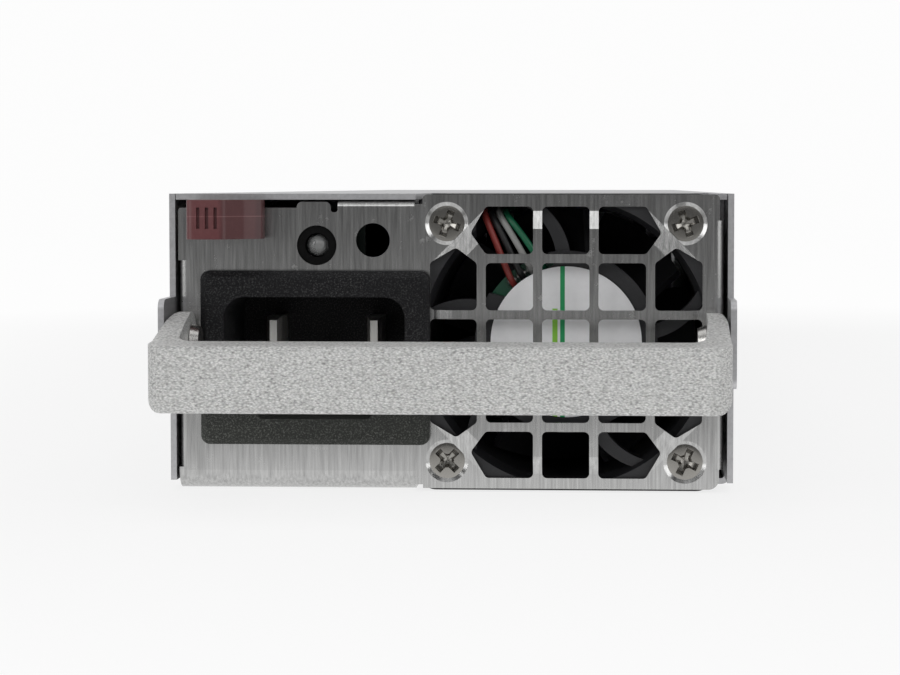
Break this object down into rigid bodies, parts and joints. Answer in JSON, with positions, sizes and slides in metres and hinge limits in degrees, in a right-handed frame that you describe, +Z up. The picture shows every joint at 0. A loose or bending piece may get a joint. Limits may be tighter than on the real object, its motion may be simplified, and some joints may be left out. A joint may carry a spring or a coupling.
{
  "type": "hot swap server power supply",
  "caption": "Slim sheet steel power supply for a rack server, with a grille over its fan, a mains inlet, a swinging bail handle and a burgundy thumb latch.",
  "frame": {"origin": "centre of the underside", "axes": "+Y runs from the front panel to the output connector, +Z up, +X to the right seen from the front"},
  "size_m": [0.078, 0.3286, 0.04],
  "materials": {
    "steel": "zinc plated sheet, satin",
    "panel_steel": "upright brushed grain, satin, small scuffs",
    "screw_steel": "bright zinc, slightly dulled",
    "panel_screw": "bright rim, dull recess",
    "plated_steel": "plated, satin",
    "spring_steel": "tempered strip",
    "casting": "fine pebbled casting, satin lacquer",
    "black_plastic": "fine moulded texture",
    "inlet_plastic": "speckled glass filled moulding",
    "burgundy_plastic": "moulded, soft gloss",
    "pin_metal": "nickel plated, bright",
    "contact_metal": "plated contact",
    "connector_plastic": "fine moulded texture",
    "white_plastic": "plain moulding",
    "label_stock": "matt coated label stock",
    "circuit_board": "solder resist over glass fibre",
    "film": "thin insulating sheet",
    "brass_post": "turned hexagon",
    "ferrite": "fired ferrite and tape",
    "core_steel": "stacked laminations",
    "copper": "enamelled wire",
    "heat_sink_metal": "extruded, bare",
    "device_body": "moulded package",
    "film_capacitor": "cast box",
    "capacitor_sleeve": "shrunk sleeve",
    "fuse_glass": "glass tube in plated clips",
    "clear_lens": "cast clear lens",
    "red_lead": "lead insulation",
    "black_lead": "lead insulation",
    "white_lead": "lead insulation",
    "green_lead": "lead insulation",
    "line_lead": "lead insulation",
    "neutral_lead": "lead insulation",
    "earth_lead": "lead insulation"
  },
  "bodies": {
    "chassis": {"base_tray": "steel", "top_cover": "steel", "rear_panel": "steel", "latch_bracket": "steel", "front_panel": "panel_steel", "lid_screws": "screw_steel", "board_screws": "screw_steel", "latch_pin": "screw_steel", "fan_bearings": "screw_steel", "fan_screws": "panel_screw", "handle_rivets": "plated_steel", "latch_spring": "spring_steel", "fan_frame": "black_plastic", "light_holder": "black_plastic", "inlet_housing": "inlet_plastic", "inlet_pin_line": "pin_metal", "inlet_pin_neutral": "pin_metal", "inlet_pin_earth": "pin_metal", "power_blades": "contact_metal", "signal_pins": "contact_metal", "connector_housing": "connector_plastic", "fan_header": "white_plastic", "fan_plug": "white_plastic", "fan_label": "label_stock", "main_board": "circuit_board", "light_board": "circuit_board", "fan_board": "circuit_board", "control_card": "circuit_board", "insulating_film": "film", "standoffs": "brass_post", "main_transformer": "ferrite", "standby_transformer": "ferrite", "fan_stator": "core_steel", "fan_windings": "copper", "filter_chokes": "copper", "boost_choke": "copper", "output_choke": "copper", "primary_heat_sink": "heat_sink_metal", "secondary_heat_sink": "heat_sink_metal", "power_transistors": "device_body", "bridge_rectifier": "device_body", "inrush_relay": "device_body", "filter_capacitors": "film_capacitor", "storage_capacitors": "capacitor_sleeve", "output_capacitors": "capacitor_sleeve", "fuse_link": "fuse_glass", "status_light": "clear_lens", "fan_lead_red": "red_lead", "fan_lead_black": "black_lead", "fan_lead_white": "white_lead", "fan_lead_green": "green_lead", "inlet_lead_line": "line_lead", "inlet_lead_neutral": "neutral_lead", "inlet_lead_earth": "earth_lead"},
    "handle": {"handle": "casting"},
    "latch": {"latch_lever": "plated_steel", "thumb_tab": "burgundy_plastic"},
    "rotor": {"fan_rotor": "black_plastic", "fan_magnet": "ferrite", "fan_shaft": "screw_steel"}
  },
  "joints": [
    {"name": "handle_swing", "type": "hinge", "parent": "chassis", "child": "handle", "pos_m": [0, -0.1545, 0.0203], "axis": [-1, 0, 0], "range_deg": [0, 58]},
    {"name": "latch_press", "type": "hinge", "parent": "chassis", "child": "latch", "pos_m": [-0.0328, -0.106, 0.0363], "axis": [0, 0, 1], "range_deg": [0, 4.8], "stiffness_Nm_per_rad": 2, "springref_deg": -5.73, "deforming": ["latch_spring"]},
    {"name": "fan_spin", "type": "hinge", "parent": "chassis", "child": "rotor", "pos_m": [0.01555, -0.135, 0.02], "axis": [0, 1, 0], "continuous": true}
  ]
}
